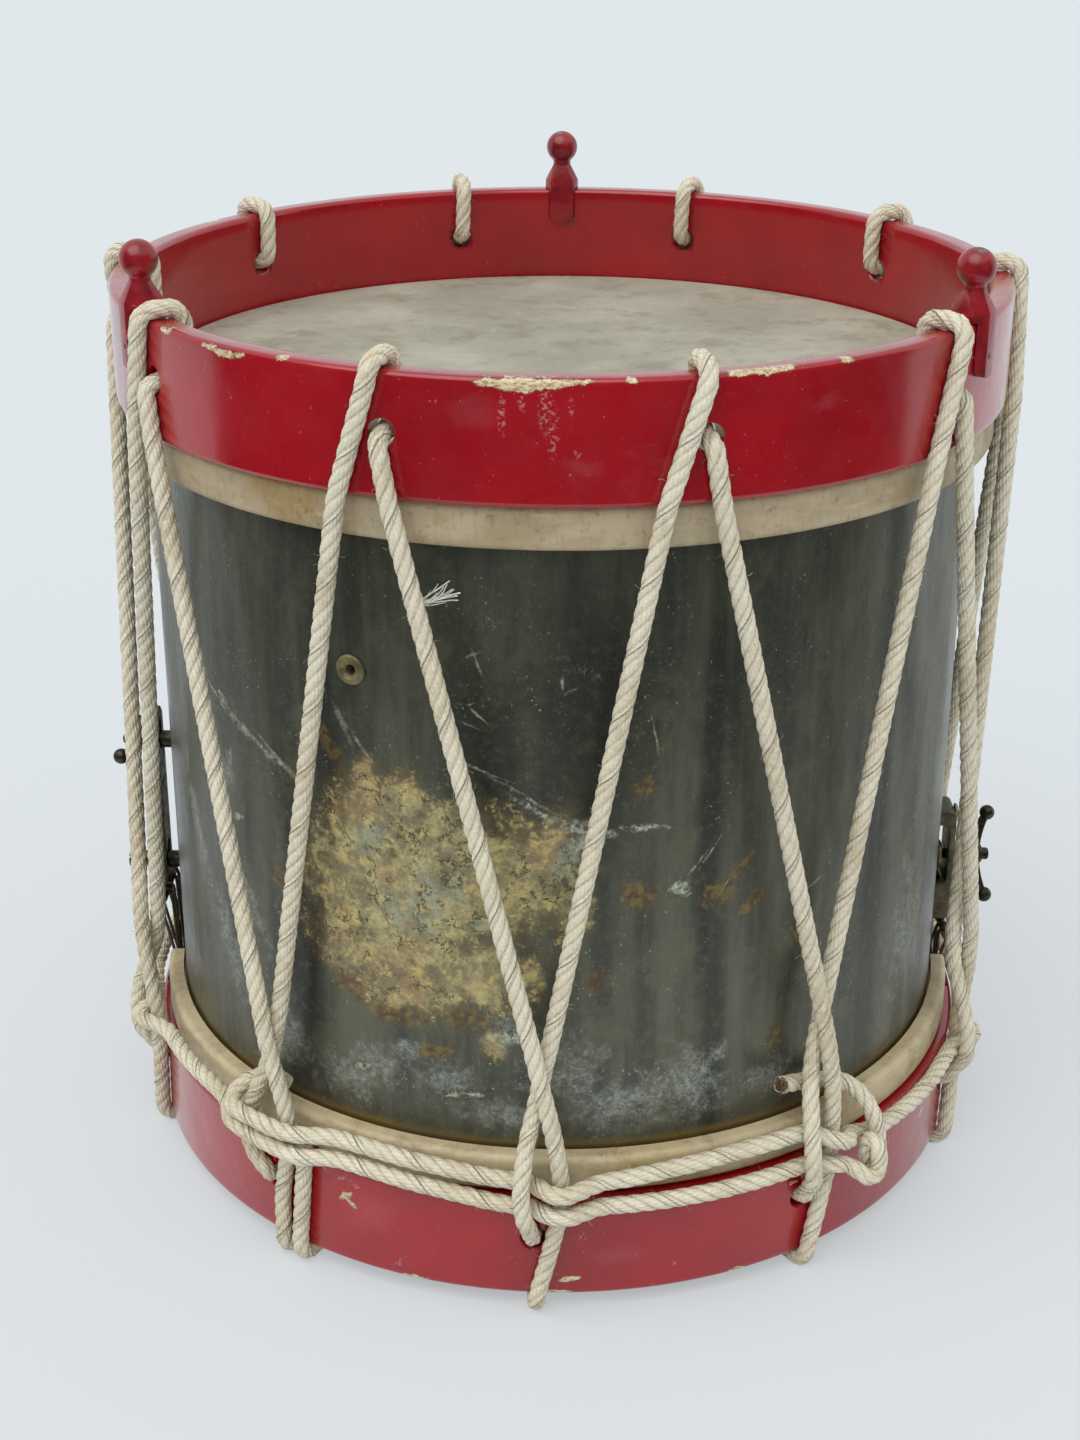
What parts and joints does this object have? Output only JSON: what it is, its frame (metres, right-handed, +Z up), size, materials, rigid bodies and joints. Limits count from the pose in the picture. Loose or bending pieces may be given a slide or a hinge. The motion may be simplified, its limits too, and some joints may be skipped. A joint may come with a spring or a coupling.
{
  "type": "field drum",
  "caption": "Rope-tension field drum with a brass shell, calfskin heads, red wooden hoops and gut snares tightened by a sliding strainer.",
  "frame": {"origin": "on the floor under the drum's axis", "axes": "+Z up along the drum's axis, -Y towards the front that the picture shows, snare strainer on the -X side and snare butt on the +X side"},
  "size_m": [0.433, 0.4322, 0.4472],
  "materials": {
    "tarnished_brass": "tarnished, semi-gloss, streaked",
    "dark_brass": "dark and worn",
    "calfskin": "matt, mottled skin",
    "lapped_hoop": "skin-lapped hoop, stained",
    "red_paint": "glossy red paint, chipped",
    "rope": "dirty three-strand hemp",
    "gut": "dark gut line"
  },
  "bodies": {
    "drum": {"shell": "tarnished_brass", "batter_head": "calfskin", "snare_head": "calfskin", "batter_flesh_hoop": "lapped_hoop", "snare_flesh_hoop": "lapped_hoop", "batter_counter_hoop": "red_paint", "snare_counter_hoop": "red_paint", "tension_rope": "rope", "trailing_rope": "rope", "rim_peg_left": "red_paint", "rim_peg_right": "red_paint", "rim_peg_back": "red_paint", "vent_eyelet": "dark_brass", "strainer_stud": "dark_brass", "strainer_stud_nut": "dark_brass", "guide_post": "dark_brass", "guide_screw": "dark_brass", "guide_screw_nut": "dark_brass", "butt_bracket": "tarnished_brass", "butt_rivet_upper": "dark_brass", "butt_rivet_lower_front": "dark_brass", "butt_rivet_lower_rear": "dark_brass", "snare_gut_front": "gut", "snare_gut_rear": "gut"},
    "strainer_plate": {"strainer_plate": "dark_brass"},
    "strainer_washer": {"strainer_washer": "dark_brass"},
    "strainer_wing_nut": {"strainer_wing_nut": "dark_brass"},
    "clamp_pad": {"clamp_pad": "dark_brass"},
    "clamp_wing_screw": {"clamp_wing_screw": "dark_brass"}
  },
  "joints": [
    {"name": "strainer_slide", "type": "slide", "parent": "drum", "child": "strainer_plate", "axis": [0, 0, 1], "range_m": [-0.008, 0.002], "deforming": ["snare_gut_front", "snare_gut_rear"]},
    {"name": "strainer_washer_slide", "type": "slide", "parent": "drum", "child": "strainer_washer", "axis": [-1, 0, 0], "range_m": [0, 0.0012]},
    {"name": "strainer_nut_turn", "type": "hinge", "parent": "strainer_washer", "child": "strainer_wing_nut", "pos_m": [-0.2, 0, 0.18405], "axis": [-1, 0, 0], "range_deg": [0, 540]},
    {"name": "clamp_pad_slide", "type": "slide", "parent": "drum", "child": "clamp_pad", "axis": [1, 0, 0], "range_m": [0, 0.0012]},
    {"name": "clamp_screw_turn", "type": "hinge", "parent": "clamp_pad", "child": "clamp_wing_screw", "pos_m": [0.2, 0, 0.12405], "axis": [1, 0, 0], "range_deg": [0, 540]}
  ],
  "couplings": [
    {"joint": "strainer_nut_turn", "follows": "strainer_washer_slide", "rad_per_m": 7854},
    {"joint": "clamp_screw_turn", "follows": "clamp_pad_slide", "rad_per_m": 7854}
  ]
}
